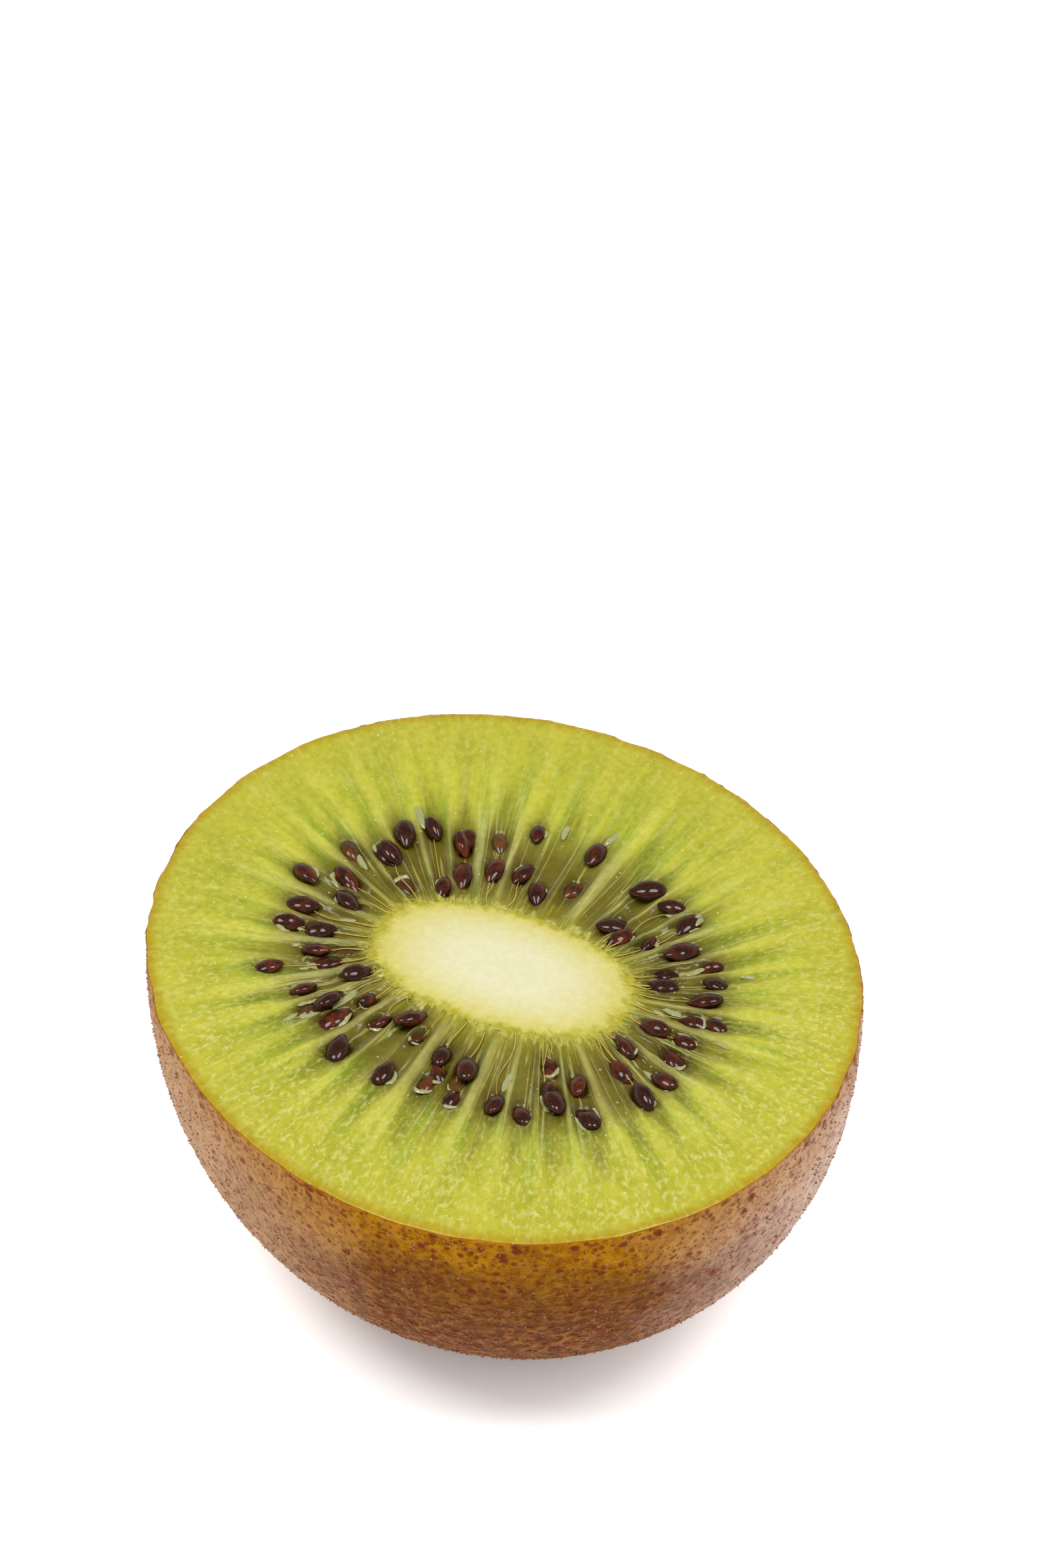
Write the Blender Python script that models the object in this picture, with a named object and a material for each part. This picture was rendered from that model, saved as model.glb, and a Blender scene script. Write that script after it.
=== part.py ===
"""Half of a kiwi fruit, cut across its middle and lying on its blunt end with the cut face up.

The half is one closed solid, because skin, green flesh and pale core are grown together. Its frame has
+X along the longer width of the oval cut face, +Z up, and its origin in the middle of the resting spot.
The solid is built as a stack of rings round the fruit's axis: up the side from the resting spot, over the
rounded rim, and inwards across the cut face to the middle of the core.
"""

import math

import bmesh
import bpy

# Whole half, in metres
FACE_RADIUS = 0.0255  # mean radius of the cut face
HEIGHT = 0.0270  # from the resting spot to the level of the cut
REST_RADIUS = 0.0050  # small flat spot that the round end stands on

# Outline of the cut face: an oval, slightly heavier on one side
OVAL_SWELL = 0.0013  # how far the long axis stands out, and the short one in
LOPSIDED_SWELL = 0.00015
LOPSIDED_TURN = math.radians(66)
END_OVALNESS = 0.9  # share of the outline's unevenness left at the resting end

# Side profile, a superellipse: the first power makes the end blunt, the second the side full
END_POWER = 2.5
SIDE_POWER = 2.2

# Core, a blunt oval turned a little from the face's long axis
CORE_HALF_LENGTH = 0.0096
CORE_HALF_WIDTH = 0.0052
CORE_TURN = math.radians(21)
CORE_POWER = 2.3

# Relief of the cut face
RIM_RADIUS = 0.0006  # rounding where the face meets the skin
CORE_CROWN = 0.0003  # the firm core stands proud
SEED_RING_SINK = 0.0003  # the wet flesh round the seeds sinks
SEED_RING_AT = 0.30  # as a share of the way from core to skin
SEED_RING_SPREAD = 0.16
FLESH_CROWN = 0.00015
FLESH_CROWN_AT = 0.72
FLESH_CROWN_SPREAD = 0.15

# Facets
POINTS_PER_RING = 84
SIDE_RINGS = 24
RIM_RINGS = 3
FLESH_RINGS = 11
CORE_RINGS = 4

FLESH_COLOUR = (0.51, 0.47, 0.07, 1.0)
FLESH_ROUGHNESS = 0.35


def oval_radius(angle):
    """Distance from the axis to the skin at the level of the cut."""
    oval = OVAL_SWELL * math.cos(2 * angle)
    lopsided = LOPSIDED_SWELL * math.cos(3 * (angle - LOPSIDED_TURN))
    return FACE_RADIUS + oval + lopsided


def side_radius(angle, depth):
    """Distance from the axis to the skin, at a depth from 0 at the cut to 1 at the resting spot."""
    evened = 1 - (1 - END_OVALNESS) * depth
    outline = FACE_RADIUS + (oval_radius(angle) - FACE_RADIUS) * evened
    rest_share = (REST_RADIUS / FACE_RADIUS) ** SIDE_POWER
    reach = (1 - rest_share) ** (1 / END_POWER)
    return outline * (1 - (reach * depth) ** END_POWER) ** (1 / SIDE_POWER)


def core_radius(angle):
    """Distance from the axis to the edge of the core."""
    along = abs(math.cos(angle - CORE_TURN)) / CORE_HALF_LENGTH
    across = abs(math.sin(angle - CORE_TURN)) / CORE_HALF_WIDTH
    return (along**CORE_POWER + across**CORE_POWER) ** (-1 / CORE_POWER)


def bell(share, middle, spread):
    return math.exp(-(((share - middle) / spread) ** 2))


def flesh_relief(share):
    """Height over the level of the cut, at a share of the way from the core's edge to the rim."""
    sunk = SEED_RING_SINK * bell(share, SEED_RING_AT, SEED_RING_SPREAD)
    crowned = FLESH_CROWN * bell(share, FLESH_CROWN_AT, FLESH_CROWN_SPREAD)
    return crowned - sunk


def core_relief(share):
    """Height over the level of the cut, at a share of the way from the middle to the core's edge."""
    edge = flesh_relief(0)
    return edge + (CORE_CROWN - edge) * (1 - share**2) ** 2


def ring(mesh, radius_at, height):
    """One ring of points round the axis, all at one height."""
    points = []
    for step in range(POINTS_PER_RING):
        angle = 2 * math.pi * step / POINTS_PER_RING
        radius = radius_at(angle)
        points.append(mesh.verts.new((radius * math.cos(angle), radius * math.sin(angle), height)))
    return points


def side_rings(mesh):
    """From the resting spot up to where the rim starts to round, closer together towards the end."""
    rings = []
    for step in range(SIDE_RINGS):
        depth = math.cos(math.pi / 2 * step / (SIDE_RINGS - 1))
        height = (HEIGHT - RIM_RADIUS) * (1 - depth)
        rings.append(ring(mesh, lambda angle, depth=depth: side_radius(angle, depth), height))
    return rings


def rim_rings(mesh):
    """A quarter round from the skin over onto the cut face."""
    rings = []
    for step in range(1, RIM_RINGS + 1):
        turn = math.pi / 2 * step / RIM_RINGS
        inwards = RIM_RADIUS * (1 - math.cos(turn))
        height = HEIGHT - RIM_RADIUS * (1 - math.sin(turn))
        rings.append(ring(mesh, lambda angle, inwards=inwards: oval_radius(angle) - inwards, height))
    return rings


def flesh_rings(mesh):
    """Across the green flesh, from inside the rim to the edge of the core."""

    def radius_at(angle, share):
        inner = core_radius(angle)
        return inner + (oval_radius(angle) - RIM_RADIUS - inner) * share

    rings = []
    for step in range(1, FLESH_RINGS + 1):
        share = 1 - step / FLESH_RINGS
        height = HEIGHT + flesh_relief(share)
        rings.append(ring(mesh, lambda angle, share=share: radius_at(angle, share), height))
    return rings


def core_rings(mesh):
    """Across the core, towards its middle."""
    rings = []
    for step in range(1, CORE_RINGS):
        share = 1 - step / CORE_RINGS
        height = HEIGHT + core_relief(share)
        rings.append(ring(mesh, lambda angle, share=share: core_radius(angle) * share, height))
    return rings


def fan(mesh, middle, points):
    for step, point in enumerate(points):
        mesh.faces.new((middle, point, points[(step + 1) % len(points)]))


def kiwi_half_mesh():
    mesh = bmesh.new()
    rings = side_rings(mesh) + rim_rings(mesh) + flesh_rings(mesh) + core_rings(mesh)
    for lower, upper in zip(rings, rings[1:]):
        for step in range(POINTS_PER_RING):
            after = (step + 1) % POINTS_PER_RING
            mesh.faces.new((lower[step], lower[after], upper[after], upper[step]))
    fan(mesh, mesh.verts.new((0, 0, 0)), rings[0][::-1])
    fan(mesh, mesh.verts.new((0, 0, HEIGHT + core_relief(0))), rings[-1])
    bmesh.ops.recalc_face_normals(mesh, faces=mesh.faces)
    data = bpy.data.meshes.new("kiwi_half")
    mesh.to_mesh(data)
    mesh.free()
    data.shade_smooth()
    return data


def flesh_material():
    material = bpy.data.materials.new("kiwi_flesh")
    material.use_nodes = True
    shader = material.node_tree.nodes["Principled BSDF"]
    shader.inputs["Base Color"].default_value = FLESH_COLOUR
    shader.inputs["Roughness"].default_value = FLESH_ROUGHNESS
    shader.inputs["Metallic"].default_value = 0.0
    return material


def main():
    for old in list(bpy.data.objects):
        bpy.data.objects.remove(old)
    half = bpy.data.objects.new("kiwi_half", kiwi_half_mesh())
    half.data.materials.append(flesh_material())
    bpy.context.scene.collection.objects.link(half)


main()
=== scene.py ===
"""Half of a kiwi fruit, cut across its middle and lying on its blunt end, with its floor, lights and camera.

The fruit is grown from its middle outwards: a pale core, green flesh with a ring of seed pockets (locules)
between thin walls (septa), black seeds hanging on yellow threads, wet gel round them, and a thin brown skin
with corky nubs. Places on the cut face are given as a turn round the core and a share of the way from the
core's edge (0) to the skin (1).
"""

import math
from functools import partial

import bpy
import numpy as np
from mathutils import Euler, Matrix, Vector


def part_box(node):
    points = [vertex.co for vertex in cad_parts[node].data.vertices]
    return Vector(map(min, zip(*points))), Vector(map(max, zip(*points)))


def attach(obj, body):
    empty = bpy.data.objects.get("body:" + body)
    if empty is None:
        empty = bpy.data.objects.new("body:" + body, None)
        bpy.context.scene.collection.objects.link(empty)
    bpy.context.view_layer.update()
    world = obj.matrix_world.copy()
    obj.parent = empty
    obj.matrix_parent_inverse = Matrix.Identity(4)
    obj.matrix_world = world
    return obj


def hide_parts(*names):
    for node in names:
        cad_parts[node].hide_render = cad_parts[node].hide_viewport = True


bl_info = {
    "name": "Kiwi half",
    "version": (1, 0, 0),
    "blender": (4, 5, 0),
    "location": "3D View > Sidebar > Kiwi",
    "description": "Half of a kiwi fruit with its skin, flesh, core, seeds and studio stage",
    "category": "Add Mesh",
}

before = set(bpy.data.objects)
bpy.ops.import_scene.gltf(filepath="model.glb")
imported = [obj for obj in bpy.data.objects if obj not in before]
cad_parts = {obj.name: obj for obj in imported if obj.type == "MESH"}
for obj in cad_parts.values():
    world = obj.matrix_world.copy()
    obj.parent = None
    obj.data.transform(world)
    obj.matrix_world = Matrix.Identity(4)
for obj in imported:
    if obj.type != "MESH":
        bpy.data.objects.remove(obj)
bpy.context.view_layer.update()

NODE = "kiwi_half"
BODY = "root"
LOWEST, HIGHEST = (np.array(corner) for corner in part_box(NODE))
WIDTHS = HIGHEST - LOWEST
MM = 0.001
FULL_TURN = 2 * math.pi
DENT = 0.30 * MM  # how far the flesh is pressed down under a seed


def linear(code):
    """Linear RGBA of an sRGB hex colour."""
    parts = [int(code[at:at + 2], 16) / 255 for at in (0, 2, 4)]
    return tuple(p / 12.92 if p <= 0.04045 else ((p + 0.055) / 1.055) ** 2.4 for p in parts) + (1.0,)


# ---------------------------------------------------------------- settings


def length(name, description, default):
    return bpy.props.FloatProperty(
        name=name, description=description, default=default, subtype="DISTANCE", unit="LENGTH", precision=5
    )


def angle(name, description, degrees):
    return bpy.props.FloatProperty(
        name=name, description=description, default=math.radians(degrees), subtype="ANGLE", unit="ROTATION"
    )


def ratio(name, description, default):
    return bpy.props.FloatProperty(name=name, description=description, default=default, precision=3)


def count(name, description, default):
    return bpy.props.IntProperty(name=name, description=description, default=default, min=1)


def colour(name, description, code):
    return bpy.props.FloatVectorProperty(
        name=name, description=description, default=linear(code), subtype="COLOR", size=4, min=0, max=1
    )


class BodySettings(bpy.types.PropertyGroup):
    """The half's overall form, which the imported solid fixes"""

    face_radius: length("Face radius", "Mean radius of the cut face", float(WIDTHS[0] + WIDTHS[1]) / 4)
    oval_swell: length("Oval swell", "How far the long axis stands out", float(WIDTHS[0] - WIDTHS[1]) / 4)
    lopsided_swell: length("Lopsided swell", "How far the heavier side stands out", 0.15 * MM)
    lopsided_turn: angle("Lopsided turn", "Where the heavier side is", 66)
    cut_level: length("Cut level", "Height of the cut face over the floor", 27.0 * MM)
    rest_radius: length("Resting spot", "Radius of the flat spot the half stands on", 5.0 * MM)
    rim_radius: length("Rim rounding", "Rounding where the face meets the skin", 0.3 * MM)
    end_power: ratio("End bluntness", "Power of the profile along the fruit", 2.5)
    side_power: ratio("Side fullness", "Power of the profile across the fruit", 2.2)
    end_ovalness: ratio("End ovalness", "Share of the oval left at the resting end", 0.9)
    core_length: length("Core half length", "Half the longer width of the core", 9.6 * MM)
    core_width: length("Core half width", "Half the shorter width of the core", 5.2 * MM)
    core_turn: angle("Core turn", "Turn of the core from the face's long axis", 21)
    ragged: length("Ragged rim", "How far the rim wanders in and out", 0.07 * MM)
    core_power: ratio("Core bluntness", "Power of the core's oval", 2.3)


class FleshSettings(bpy.types.PropertyGroup):
    """The green flesh and its ring of seed pockets"""

    locules: count("Seed pockets", "Seed pockets round the core", 41)
    wall_thickness: length("Wall thickness", "Mean thickness of the walls between the pockets", 0.18 * MM)
    pocket_depth: length("Pocket depth", "How far the pockets sink between their walls", 0.28 * MM)
    longer: ratio("Longer pockets", "How much further out the pockets run on one side, as a share", 0.06)
    longer_turn: angle("Longer side", "Which side has the longer pockets", -66)
    ring_sink: length("Ring sink", "How far the whole seed ring sinks", 0.25 * MM)
    crown: length("Flesh crown", "How far the outer flesh swells over the cut", 0.15 * MM)
    root: colour("Root", "Olive flesh that shows in the gaps of the core's edge", "A0961E")
    fringe: colour("Fringe", "Pale fringe that the core's edge sends out", "BEB65C")
    wall: colour("Wall", "Walls between the pockets", "989048")
    pocket_root: colour("Pocket root", "Clear flesh at the inner end of a pocket", "8A800E")
    pocket: colour("Pocket", "Clear flesh round the seeds, which looks dark", "665A10")
    pocket_end: colour("Pocket end", "Clear flesh at the outer end of a pocket", "6E6E12")
    # Darkening round the seeds: partly the seeds seen through the clear flesh, partly painted shade from the
    # seeds
    halo: colour("Seed halo", "Dark stain that the seeds lend the clear flesh", "3A2A0A")
    middle: colour("Middle flesh", "Flesh just outside the seeds", "B8B63C")
    outer: colour("Outer flesh", "Flesh towards the skin", "B6B038")
    rim: colour("Rim", "Flesh against the skin", "AE9010")
    # Pale flecks: partly pale fibres of the flesh itself, partly painted wet glints
    pale_fleck_and_glint: colour("Fleck", "Wet pale flecks in the flesh", "D2CE84")


class CoreSettings(bpy.types.PropertyGroup):
    """The pale firm core"""

    crown: length("Core crown", "How far the core stands proud", 0.22 * MM)
    middle: colour("Core middle", "Middle of the core", "D2CDA8")
    end: colour("Core edge", "Paler green towards the core's edge", "CCC690")


class SeedSettings(bpy.types.PropertyGroup):
    """The seeds, their threads and the gel round them"""

    length: length("Seed length", "Length of a seed", 2.45 * MM)
    width: length("Seed width", "Width of a seed", 1.46 * MM)
    thickness: length("Seed thickness", "Thickness of a seed", 0.95 * MM)
    random_seed: count("Random seed", "Which scatter of seeds is made", 11)
    shell: colour("Seed shell", "Dark shell of the seeds", "260D03")
    shell_light: colour("Seed shell ridges", "Lighter red-brown of the shell", "62240A")
    veil: colour("Veil", "Olive look of the seeds that lie under clear flesh", "5C4E20")
    thread: colour("Thread", "Yellow threads the seeds hang on", "A8882C")
    fibre: colour("Fibre", "Pale fibres at the core's edge", "B8AE50")
    gel: colour("Gel", "Clear wet gel round the seeds", "A8A878")


class SkinSettings(bpy.types.PropertyGroup):
    """The thin brown skin and its corky nubs"""

    wall: length("Skin thickness", "Thickness of the skin", 0.22 * MM)
    peel: length("Peel at the cut", "Thickness of the brown peel seen at the cut", 0.10 * MM)
    nubs: count("Nubs", "Stubs of worn-off hairs on the skin", 9000)
    nub_height: length("Nub height", "Height of the highest nubs", 0.24 * MM)
    edge: colour("Cut edge", "Orange line where the skin is cut through", "A86614")
    gold: colour("Gold band", "Clear gold skin just under the cut", "A26E00")
    tan: colour("Tan", "Brown of the skin", "784A08")
    low: colour("Low tan", "Skin near the resting end", "70431A")
    speckle: colour("Speckle", "Dark red-brown corky speckles", "682408")
    fuzz: colour("Fuzz", "Pinkish bloom of the fine fuzz", "F0DCD2")


class StageSettings(bpy.types.PropertyGroup):
    """Floor, light and camera"""

    azimuth: angle("Camera azimuth", "Where the camera stands round the half", 44.7)
    elevation: angle("Camera elevation", "How steeply the camera looks down", 46.4)
    camera_place: bpy.props.FloatVectorProperty(
        name="Camera place", description="Where the camera stands", default=(0.2554, -0.2561, 0.4259),
        subtype="TRANSLATION", unit="LENGTH", size=3, precision=4
    )
    lens: ratio("Lens", "Focal length in millimetres on a 36 mm sensor", 173.0)
    floor: colour("Floor", "Matt white card", "FDFDFD")
    floor_glow: ratio("Floor glow", "Light that comes up through the white floor", 0.40)
    walls: ratio("White walls", "Strength of the white surroundings near the horizon", 1.1)
    ceiling: ratio("Ceiling", "Strength of the surroundings overhead", 0.32)
    softbox: ratio("Softboxes", "Power of each of the two soft lights, in watts", 3.45)
    softbox_size: length("Softbox size", "Diameter of each soft light", 0.32)
    softbox_away: length("Softbox distance", "How far the soft lights stand off", 0.80)
    softbox_side: angle("Softbox side", "How far to each side of the camera the soft lights stand", 62)
    softbox_rise: angle("Softbox rise", "How steeply the soft lights look down", 66)


class KiwiSettings(bpy.types.PropertyGroup):
    """All settings of the kiwi half"""

    body: bpy.props.PointerProperty(type=BodySettings, name="Body", description="The half's overall form")
    flesh: bpy.props.PointerProperty(type=FleshSettings, name="Flesh", description="The green flesh")
    core: bpy.props.PointerProperty(type=CoreSettings, name="Core", description="The pale core")
    seeds: bpy.props.PointerProperty(type=SeedSettings, name="Seeds", description="Seeds, threads and gel")
    skin: bpy.props.PointerProperty(type=SkinSettings, name="Skin", description="Skin and its nubs")
    stage: bpy.props.PointerProperty(type=StageSettings, name="Stage", description="Floor, light and camera")


def settings():
    return bpy.context.scene.kiwi


# ---------------------------------------------------------------- form of the half


def polar(radius, turn):
    """Plan positions at a radius and turn."""
    return np.stack([radius * np.cos(turn), radius * np.sin(turn)], axis=-1)


def skin_radius(turn, depth=0.0):
    """Distance from the axis to the skin, at a depth from 0 at the cut to 1 at the resting spot."""
    body = settings().body
    oval = body.oval_swell * np.cos(2 * turn)
    lopsided = body.lopsided_swell * np.cos(3 * (turn - body.lopsided_turn))
    evened = 1 - (1 - body.end_ovalness) * depth
    # The rim's small waves die away a few millimetres under the cut
    ragged = body.ragged * wobble(turn, 5, 40, 51) * np.exp(-14 * np.asarray(depth))
    outline = body.face_radius + (oval + lopsided) * evened + ragged
    rest_share = (body.rest_radius / body.face_radius) ** body.side_power
    reach = (1 - rest_share) ** (1 / body.end_power)
    return outline * (1 - (reach * depth) ** body.end_power) ** (1 / body.side_power)


def core_edge(turn):
    """Points on the core's edge, a blunt oval."""
    body = settings().body
    bluntness = 2 / body.core_power
    along = body.core_length * np.sign(np.cos(turn)) * np.abs(np.cos(turn)) ** bluntness
    across = body.core_width * np.sign(np.sin(turn)) * np.abs(np.sin(turn)) ** bluntness
    cos, sin = math.cos(body.core_turn), math.sin(body.core_turn)
    return np.stack([along * cos - across * sin, along * sin + across * cos], axis=-1)


def face_edge(turn):
    """Points where the flesh meets the skin's inner side, opposite core_edge's."""
    direction = turn + settings().body.core_turn
    return polar(skin_radius(direction) - settings().skin.peel, direction)


def face_place(turn, share):
    """Plan position on the cut face, and the distance from core to skin along that ray."""
    inner, outer = core_edge(turn), face_edge(turn)
    span = np.linalg.norm(outer - inner, axis=-1)
    return inner + (outer - inner) * np.asarray(share)[..., None], span


def smooth_step(low, high, value):
    """A rise from 0 at low to 1 at high, eased at both ends."""
    way = np.clip((value - low) / (high - low), 0, 1)
    return way * way * (3 - 2 * way)


def bell(value, middle, spread):
    """A bump that is 1 at the middle and fades over the spread."""
    return np.exp(-(((value - middle) / spread) ** 2))


def wobble(turn, lowest, highest, seed):
    """A seamless uneven curve round the fruit, between about -1 and 1."""
    rng = np.random.default_rng(seed)
    total = np.zeros_like(np.asarray(turn, dtype=float))
    for harmonic in range(lowest, highest + 1):
        total += rng.normal() * np.cos(harmonic * turn + rng.uniform(0, FULL_TURN))
    return total / math.sqrt((highest - lowest + 1) * 2)


class Pockets:
    """The seed pockets: where each lies round the core, how far out it runs and how clear its flesh is."""

    def __init__(self):
        flesh = settings().flesh
        number = flesh.locules
        rng = np.random.default_rng(5)
        self.spacing = FULL_TURN / number
        self.turn = (np.arange(number) + 0.5 + rng.uniform(-0.15, 0.15, number)) * self.spacing
        self.end = rng.uniform(0.41, 0.53, number) + 0.04 * wobble(self.turn, 1, 4, 21)
        self.end += flesh.longer * np.cos(self.turn - flesh.longer_turn)
        clearness = 0.88 + 0.10 * wobble(self.turn, 1, 5, 22) + rng.normal(0, 0.07, number)
        self.clearness = np.clip(clearness, 0.6, 1)
        self.wall = flesh.wall_thickness

    def nearest(self, turn, share):
        """The nearest pocket to each place, and how far its middle is, in pocket spacings."""
        bent = turn + (0.022 * wobble(turn, 3, 9, 23) + 0.004 * wobble(turn, 20, 50, 24)) * (0.3 + share)
        apart = (bent[..., None] - self.turn + math.pi) % FULL_TURN - math.pi
        chosen = np.abs(apart).argmin(axis=-1)
        return chosen, np.take_along_axis(np.abs(apart), chosen[..., None], -1)[..., 0] / self.spacing

    def inside(self, turn, share, softness):
        """1 inside a pocket, falling to 0 over a softness at its walls and fading at its outer end."""
        chosen, across = self.nearest(turn, share)
        along = share / self.end[chosen]
        _, span = face_place(turn, share)
        apart = (settings().body.core_width * 1.4 + span * share) * self.spacing
        girth = 0.5 - self.wall * (1 + 0.9 * wobble(turn, 1, 12, 25)) / 2 / apart
        girth *= 1 - 0.25 * smooth_step(0.75, 1.2, along)
        between_walls = smooth_step(0, softness, girth - across)
        return between_walls * smooth_step(0.0, 0.16, along) * (1 - smooth_step(0.66, 1.16, along))

    def field(self, turn, share):
        """How clear, and so how dark, the flesh is."""
        chosen, _ = self.nearest(turn, share)
        return self.inside(turn, share, 0.09) * self.clearness[chosen]

    def tail(self, turn, share):
        """The dark strokes that run on into the flesh past a pocket's outer end."""
        chosen, across = self.nearest(turn, share)
        past = share - self.end[chosen]
        return bell(past, 0.02, 0.11) * (1 - smooth_step(0.02, 0.36, across)) * self.clearness[chosen]

    def between(self, turn, share):
        """1 half way between two pockets, 0 in a pocket's middle."""
        return smooth_step(0.12, 0.5, self.nearest(turn, share)[1])


def cut_height(turn, share, pockets):
    """Height of the cut face over the floor."""
    body, flesh = settings().body, settings().flesh
    _, span = face_place(turn, share)
    ring = flesh.ring_sink * bell(share, 0.28, 0.20)
    crown = flesh.crown * bell(share, 0.72, 0.17)
    hollow = flesh.pocket_depth * pockets.inside(turn, share, 0.30)
    streaks = 0.03 * MM * wobble(turn, 60, 150, 31) * smooth_step(0.02, 0.1, share) * (1 - share) ** 0.5
    rim = body.rim_radius
    into_rim = np.clip(rim - span * (1 - share), 0, rim)
    rolled = rim - np.sqrt(rim**2 - (into_rim * 0.7) ** 2)
    return body.cut_level + crown - ring - hollow + streaks - rolled


def along_face(turn, share, lift, pockets):
    """A place on the cut face, lifted a little off it."""
    turn, share = np.array([turn]), np.array([share])
    place, _ = face_place(turn, share)
    return (*place[0], float(cut_height(turn, np.maximum(share, 0), pockets)[0]) + lift)


def lying(turn, share, turned, lift, size, tilts, pockets):
    """The matrix of a thing that lies on the cut face and heads outwards, but for a turn and two tilts."""
    here, ahead = (np.array(along_face(turn, at, lift, pockets)) for at in (share, share + 0.02))
    heading = math.atan2(*(ahead - here)[1::-1]) + turned
    return Matrix.LocRotScale(Vector(here), Euler((*tilts, heading)), Vector((size, size, size)))


# ---------------------------------------------------------------- modelling helpers


def deselect_all():
    if bpy.context.object and bpy.context.object.mode != "OBJECT":
        bpy.ops.object.mode_set(mode="OBJECT")
    bpy.ops.object.select_all(action="DESELECT")


def edit(tool, **options):
    """Run one edit-mode tool on the whole of the active mesh."""
    bpy.ops.object.mode_set(mode="EDIT")
    bpy.ops.mesh.select_all(action="SELECT")
    tool(**options)
    bpy.ops.object.mode_set(mode="OBJECT")


def wrap_grid(name, rings, fields):
    """A flat grid wrapped round the fruit's axis into a closed shell.

    rings is an array of rings, each with the same number of points round the axis and the first point
    repeated at the end. fields are point attributes of the same shape, by name.
    """
    deselect_all()
    across, along = rings.shape[1] - 1, rings.shape[0] - 1
    bpy.ops.mesh.primitive_grid_add(x_subdivisions=across, y_subdivisions=along, size=1)
    piece = bpy.context.object
    piece.name = piece.data.name = name
    flat = np.empty(len(piece.data.vertices) * 3, dtype=np.float32)
    piece.data.vertices.foreach_get("co", flat)
    flat = flat.reshape(-1, 3)
    column = np.rint((flat[:, 0] + 0.5) * across).astype(int)
    row = np.rint((flat[:, 1] + 0.5) * along).astype(int)
    piece.data.vertices.foreach_set("co", rings[row, column].astype(np.float32).ravel())
    for field, values in fields.items():
        kind = "FLOAT_VECTOR" if values.ndim == 3 else "FLOAT"
        attribute = piece.data.attributes.new(field, kind, "POINT")
        slot = "vector" if values.ndim == 3 else "value"
        attribute.data.foreach_set(slot, values[row, column].astype(np.float32).ravel())
    edit(bpy.ops.mesh.remove_doubles, threshold=1e-7)
    edit(bpy.ops.mesh.normals_make_consistent, inside=False)
    return piece


def ring_of(place, height):
    """One ring of points from plan positions and a height or heights."""
    return np.concatenate([place, np.broadcast_to(height, place.shape[:-1])[..., None]], axis=-1)


def pole(turn, height):
    return ring_of(np.zeros((len(turn), 2)), height)


def turns(spokes):
    around = np.linspace(0, FULL_TURN, spokes + 1)
    around[-1] = around[0]
    return around


def sides(turn, depths, inset, start=0):
    """Rings down the side of the half, set in from the skin's outer side."""
    body = settings().body
    direction = turn + start
    tall = body.cut_level - body.rim_radius
    rings = []
    for depth in depths:
        over, under = max(depth - 1e-3, 0), min(depth + 1e-3, 1)
        narrowing = skin_radius(direction, over) - skin_radius(direction, under)
        drop = tall * (under - over)
        slant = np.hypot(narrowing, drop)
        radius = skin_radius(direction, depth) - inset * drop / slant
        height = tall * (1 - depth) + inset * narrowing / slant
        rings.append(ring_of(polar(radius, direction), height))
    return rings


def side_depths(rings):
    """Depths from the rim to the resting spot, evenly spaced along the curve of the side."""
    body = settings().body
    depth = np.linspace(0, 1, 4001)
    radius = skin_radius(np.zeros_like(depth), depth)
    steps = np.hypot(np.diff(radius), np.diff(depth) * (body.cut_level - body.rim_radius))
    run = np.concatenate([[0], np.cumsum(steps)])
    return np.interp(np.linspace(0, run[-1], rings), run, depth)


def ruffle(piece, grain, strength):
    """Displace a piece along its normals by a cloudy texture whose lumps are about grain across."""
    texture = bpy.data.textures.new(f"{piece.name}_clouds", "CLOUDS")
    texture.noise_scale = grain
    lumps = piece.modifiers.new("lumps", "DISPLACE")
    lumps.texture = texture
    lumps.texture_coords = "LOCAL"
    lumps.strength = strength
    lumps.mid_level = 0.5
    bpy.context.view_layer.objects.active = piece
    bpy.ops.object.modifier_apply(modifier=lumps.name)


def scatter(name, model, places, tones=None):
    """One mesh of many copies of a model, each placed by its own matrix and with its own tone."""
    model_points = np.empty(len(model.data.vertices) * 3)
    model.data.vertices.foreach_get("co", model_points)
    model_points = model_points.reshape(-1, 3)
    model_faces = [tuple(face.vertices) for face in model.data.polygons]
    points, faces = [], []
    for number, place in enumerate(places):
        matrix = np.array(place)
        points.append(model_points @ matrix[:3, :3].T + matrix[:3, 3])
        first = number * len(model_points)
        faces.extend(tuple(first + corner for corner in face) for face in model_faces)
    data = bpy.data.meshes.new(name)
    data.from_pydata(np.concatenate(points), [], faces)
    data.update()
    if tones is not None:
        tone = data.attributes.new("tone", "FLOAT", "POINT")
        tone.data.foreach_set("value", np.repeat(np.array(tones, dtype=np.float32), len(model_points)))
    piece = bpy.data.objects.new(name, data)
    bpy.context.scene.collection.objects.link(piece)
    bpy.data.objects.remove(model)
    return piece


def hand_in(piece, material):
    """Smooth a finished piece, give it its material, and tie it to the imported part."""
    piece.data.materials.clear()
    piece.data.materials.append(material)
    piece.data.shade_smooth()
    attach(piece, BODY)
    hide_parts(NODE)


# ---------------------------------------------------------------- material helpers


def new_material(name):
    """A new material, its shader, and the function that adds nodes to it."""
    material = bpy.data.materials.new(name)
    material.use_nodes = True
    tree = material.node_tree
    return material, tree.nodes["Principled BSDF"], partial(add_node, tree)


def fill(node, inputs):
    """Set a node's inputs by name or number: a socket is linked, and a hex colour is turned to linear."""
    for name, value in inputs.items():
        if isinstance(value, bpy.types.NodeSocket):
            node.id_data.links.new(value, node.inputs[name])
        else:
            node.inputs[name].default_value = linear(value) if isinstance(value, str) else value


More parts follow.
